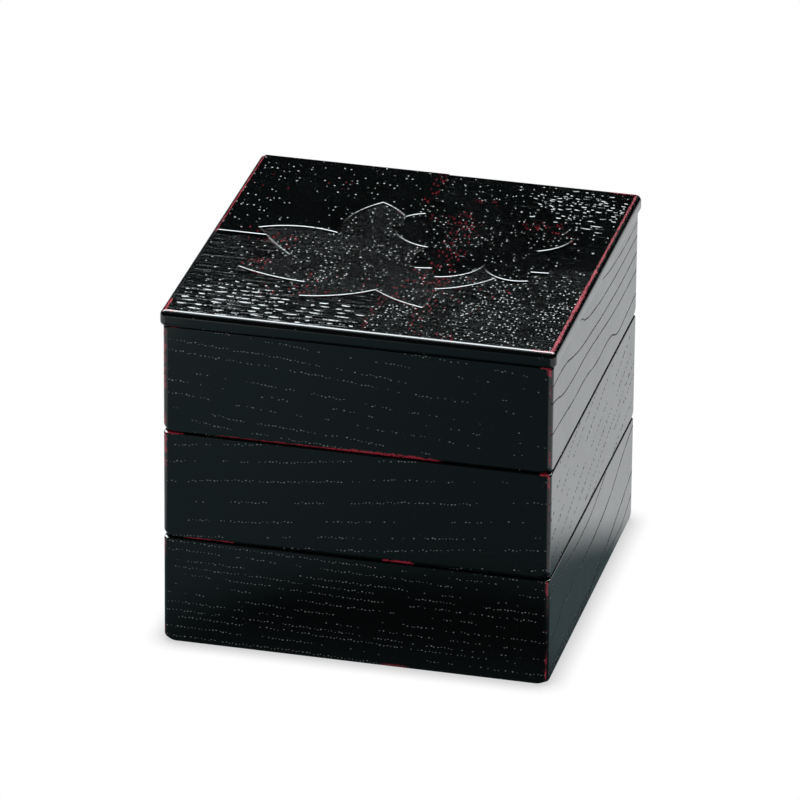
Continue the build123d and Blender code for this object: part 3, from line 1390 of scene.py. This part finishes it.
BOTTOM_LEFT_GRAIN = DrawnGrain(
    (
        Line(((-68, 36.1), (-35, 34.7), (-5, 29.7), (25, 27.2), (45, 28.2), (68, 30.7))),
        Line(((-68, 26.7), (-30, 24.3), (0, 19.3), (30, 16.3), (68, 18.8)), 0.5),
        Line(((-68, 15.8), (-30, 12.9), (5, 8.4), (35, 5.9), (68, 7.9)), 0.5),
    ),
    80.0,
)
TIERS = (
    Tier(
        "top_tier",
        {
            Side.FRONT: Grain(-0.075, 4.9, 1.25, 0.65, 0.42, 0.78, 0.9, 1.0, thinned=0.30),
            Side.RIGHT: TOP_RIGHT_GRAIN,
            Side.BACK: Grain(0.06, 5.6, 1.3, 0.7, 0.44, 0.55, 1.2, 3.0),
            Side.LEFT: TOP_LEFT_GRAIN,
        },
        {
            Side.FRONT: Wear(
                (Stretch(-47.0, -36.0, 0.45, 0.5), Stretch(-32.0, -8.0, 0.6, 0.7), Stretch(-6.0, 25.0, 0.95, 1.0, 6.0)),
                (Stretch(-68.0, -64.0, 0.5, 0.5), Stretch(65.0, 68.0, 0.9, 0.95, 2.0)),
                (Stretch(98.0, 117.8, 1.7, 1.0), Stretch(82.2, 86.1, 1.3, 0.9)),
                (
                    Stretch(117.3, 119.3, 2.0, 0.9, 1.0),
                    Stretch(84.2, 89.1, 1.1, 0.8, 1.5),
                    Stretch(90.0, 116.0, 0.9, 0.55),
                ),
            ),
            Side.RIGHT: Wear(left=(Stretch(82.2, 88.1, 0.8, 0.5),)),
            Side.BACK: Wear((Stretch(-30.0, 12.0, 0.8, 0.8, 6.0),), (), (Stretch(100.0, 112.0, 1.0, 0.8),)),
            Side.LEFT: Wear((Stretch(10.0, 42.0, 0.8, 0.8, 6.0),), (), (), (Stretch(99.0, 119.0, 0.9, 0.8),)),
        },
    ),
    Tier(
        "middle_tier",
        {
            Side.FRONT: Grain(0.115, 6.6, 1.25, 0.62, 0.42, 0.95, 0.9, 5.0, thinned=0.35),
            Side.RIGHT: Grain(0.24, 7.4, 2.6, 1.5, 0.9, 1.05, 0.7, 6.0, pore=GROOVE_BLACK),
            Side.BACK: Grain(-0.08, 7.0, 1.3, 0.65, 0.44, 0.6, 0.9, 7.0),
            Side.LEFT: Grain(0.14, 7.0, 2.2, 1.2, 0.7, 0.9, 0.8, 8.0),
        },
        {
            Side.FRONT: Wear(
                (Stretch(-58.0, -45.0, 0.5, 0.7), Stretch(11.0, 19.0, 0.9, 1.0, 2.0)),
                (Stretch(-68.0, -63.0, 0.6, 0.7), Stretch(65.5, 68.0, 0.8, 0.9, 2.0)),
                (Stretch(68.3, 78.2, 1.6, 1.0),),
                (Stretch(75.7, 79.2, 1.6, 1.0, 1.5), Stretch(46.0, 74.3, 0.9, 0.50)),
            ),
            Side.BACK: Wear((Stretch(20.0, 40.0, 0.8, 0.8),), (), (), (Stretch(60.0, 70.0, 1.0, 0.7),)),
            Side.LEFT: Wear((), (), (Stretch(43.0, 49.0, 0.9, 0.7),), (Stretch(69.0, 79.0, 0.9, 0.8),)),
        },
    ),
    Tier(
        "bottom_tier",
        {
            Side.FRONT: Grain(-0.02, 3.3, 1.25, 0.58, 0.40, 1.00, 0.45, 9.0, thinned=0.60),
            Side.RIGHT: BOTTOM_RIGHT_GRAIN,
            Side.BACK: Grain(0.03, 4.2, 1.25, 0.62, 0.42, 0.7, 0.6, 11.0),
            Side.LEFT: BOTTOM_LEFT_GRAIN,
        },
        {
            Side.FRONT: Wear(
                (Stretch(11.0, 17.0, 0.8, 0.6, 2.0),),
                (),
                (Stretch(31.7, 38.6, 0.9, 0.85), Stretch(1.0, 5.0, 1.0, 0.85)),
                (Stretch(35.1, 39.1, 1.5, 0.9, 1.5), Stretch(1.5, 9.4, 1.5, 1.0, 1.5), Stretch(11.0, 34.0, 0.9, 0.50)),
            ),
            Side.BACK: Wear((Stretch(-50.0, -20.0, 0.8, 0.7),), (), (Stretch(2.0, 9.0, 1.2, 0.8),)),
            Side.LEFT: Wear((), (), (), (Stretch(32.0, 39.0, 0.9, 0.8), Stretch(1.0, 5.0, 1.0, 0.8))),
        },
    ),
)

RELIEF = (
    ReliefPiece(
        "front_left_board",
        Texture(0.100, 0.140, 0.044, 2.4, 0.40, 0.16, 1.0),
        patches=(
            Patch((-42.0, -60.5), (23.0, 6.0), 210, (1.2, 3.6), (0.60, 0.90), (0.13, 0.23), 3.0, -3.0),
            Patch((-46.0, -50.0), (19.0, 4.5), 150, (0.8, 2.4), (0.50, 0.80), (0.11, 0.21), 3.0, -3.0),
            Patch((-13.0, -58.0), (11.0, 7.5), 80, (0.9, 2.4), (0.50, 0.80), (0.11, 0.20), 3.0, -3.0),
            Patch((-42.0, -42.0), (22.0, 3.0), 44, (0.5, 1.3), (0.40, 0.60), (0.07, 0.15), 3.0, -3.0),
            Patch((-38.0, -24.0), (26.0, 14.0), 60, (0.35, 0.6), (0.35, 0.50), (0.03, 0.10)),
        ),
        specks=(SpeckField(-60.0, -30.0, -4.0, 0.0, 0.35), SpeckField(-42.0, -26.0, -45.0, -36.0, 0.25)),
    ),
    ReliefPiece(
        "front_right_board",
        Texture(0.100, 0.05, 0.062, 1.6, 0.38, 0.40, 2.0),
        patches=(
            Patch((33.0, -42.0), (36.0, 26.0), 190, (0.30, 0.50), (0.30, 0.50), (0.03, 0.10)),
            Patch((55.0, -15.0), (12.0, 14.0), 40, (0.30, 0.50), (0.30, 0.50), (0.03, 0.09)),
        ),
        specks=(
            SpeckField(0.0, 2.2, -66.0, -34.0, 0.75),
            SpeckField(15.0, 21.0, -66.0, -26.0, 0.50),
            SpeckField(22.0, 45.0, -45.0, -20.0, 0.10),
            SpeckField(27.0, 33.0, -66.0, -56.0, 0.25),
        ),
    ),
    ReliefPiece(
        "back_left_board",
        Texture(0.070, 0.045, 0.022, 2.3, 0.36, 0.24, 3.0),
        slope_width=0.45,
        specks=(
            SpeckField(-3.6, 0.0, 40.0, 66.0, 0.75),
            SpeckField(-62.0, -30.0, 30.0, 60.0, 0.02),
            SpeckField(-60.0, -44.0, 2.0, 8.0, 0.20),
            SpeckField(-26.0, -6.0, 55.0, 66.0, 0.04),
        ),
        edge_red=0.5,
    ),
    ReliefPiece(
        "back_right_board",
        Texture(0.074, 0.110, 0.026, 2.4, 0.40, 0.22, 4.0),
        patches=(
            Patch((52.0, 55.0), (15.0, 12.0), 150, (0.50, 1.4), (0.40, 0.62), (0.06, 0.14), 0.0, -8.0, 22.0),
            Patch((57.0, 36.0), (9.0, 3.0), 9, (1.4, 2.6), (0.45, 0.60), (0.10, 0.15), 0.0, -4.0, 6.0),
            Patch((24.0, 48.0), (18.0, 16.0), 35, (0.30, 0.45), (0.40, 0.80), (0.04, 0.11), 0.0, 14.0),
        ),
        specks=(SpeckField(34.0, 50.0, 28.0, 36.0, 0.35), SpeckField(10.0, 24.0, 34.0, 50.0, 0.25)),
    ),
    ReliefPiece(
        "left_leaf",
        Texture(0.110, 0.035, 0.065, 1.7, 0.36, 0.26, 5.0),
        slope_width=0.45,
        patches=(
            Patch((-24.0, -25.0), (9.0, 10.0), 36, (0.35, 0.55), (0.35, 0.55), (0.05, 0.13)),
            Patch((-12.0, -12.0), (24.0, 24.0), 85, (0.28, 0.44), (0.30, 0.48), (0.03, 0.08)),
            Patch((4.0, 2.0), (10.0, 8.0), 34, (0.30, 0.45), (0.40, 0.70), (0.04, 0.12), 0.0, 12.0),
        ),
        specks=(
            SpeckField(15.0, 21.0, -40.0, 8.0, 0.55),
            SpeckField(-28.0, 20.0, -40.0, -24.0, 0.16),
            SpeckField(-53.0, -37.0, -8.0, 4.0, 0.60),
            SpeckField(-52.0, -42.0, -26.0, -17.0, 0.75),
            SpeckField(-27.0, -12.0, -44.0, -39.0, 0.65),
            SpeckField(5.0, 30.0, -24.0, -8.0, 0.14),
        ),
        edge_red=0.9,
    ),
    ReliefPiece(
        "right_leaf",
        Texture(0.090, 0.035, 0.038, 1.9, 0.34, 0.24, 6.0),
        slope_width=0.45,
        patches=(
            Patch((24.0, 24.0), (26.0, 20.0), 80, (0.28, 0.44), (0.32, 0.55), (0.03, 0.07), 0.0, 14.0),
            Patch((14.0, 8.0), (12.0, 10.0), 28, (0.28, 0.42), (0.32, 0.55), (0.03, 0.07), 0.0, 10.0),
        ),
        specks=(
            SpeckField(0.0, 17.0, 27.0, 37.0, 0.45),
            SpeckField(35.0, 51.0, 28.0, 36.0, 0.50),
            SpeckField(11.0, 21.0, -22.0, 28.0, 0.45),
            SpeckField(46.0, 54.0, 22.0, 29.0, 0.40),
        ),
        edge_red=0.25,
    ),
)
LID = Lid(
    crest_wears={
        Side.RIGHT: (Stretch(-68.0, 0.0, 0.95, 1.0), Stretch(4.0, 66.0, 0.6, 0.8)),
        Side.LEFT: (Stretch(2.0, 67.0, 0.55, 0.9), Stretch(-68.0, -60.0, 0.9, 0.9)),
        Side.FRONT: (Stretch(62.0, 68.0, 0.8, 0.8), Stretch(-68.0, -65.0, 0.8, 0.6)),
        Side.BACK: (Stretch(60.0, 68.0, 0.8, 0.8), Stretch(-40.0, -10.0, 0.4, 0.5)),
    },
    end_wears={
        Side.FRONT: (Stretch(122.8, 125.8, 1.1, 0.8),),
        Side.RIGHT: (Stretch(122.8, 125.8, 1.0, 0.8),),
        Side.LEFT: (Stretch(123.3, 125.8, 0.8, 0.7),),
    },
    relief=RELIEF,
)


def main() -> None:
    """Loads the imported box, dresses it, lights it and sets the camera."""
    logging.basicConfig(level=logging.INFO, format="%(name)s %(message)s")
    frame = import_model()
    Camera().place()
    effects = Effects()
    for tier in TIERS:
        tier.dress(effects, frame["nodes"])
    LID.build(effects, frame["nodes"])
    Studio().build()
    bpy.context.scene.view_settings.view_transform = "Standard"


if __name__ == "__main__":
    main()
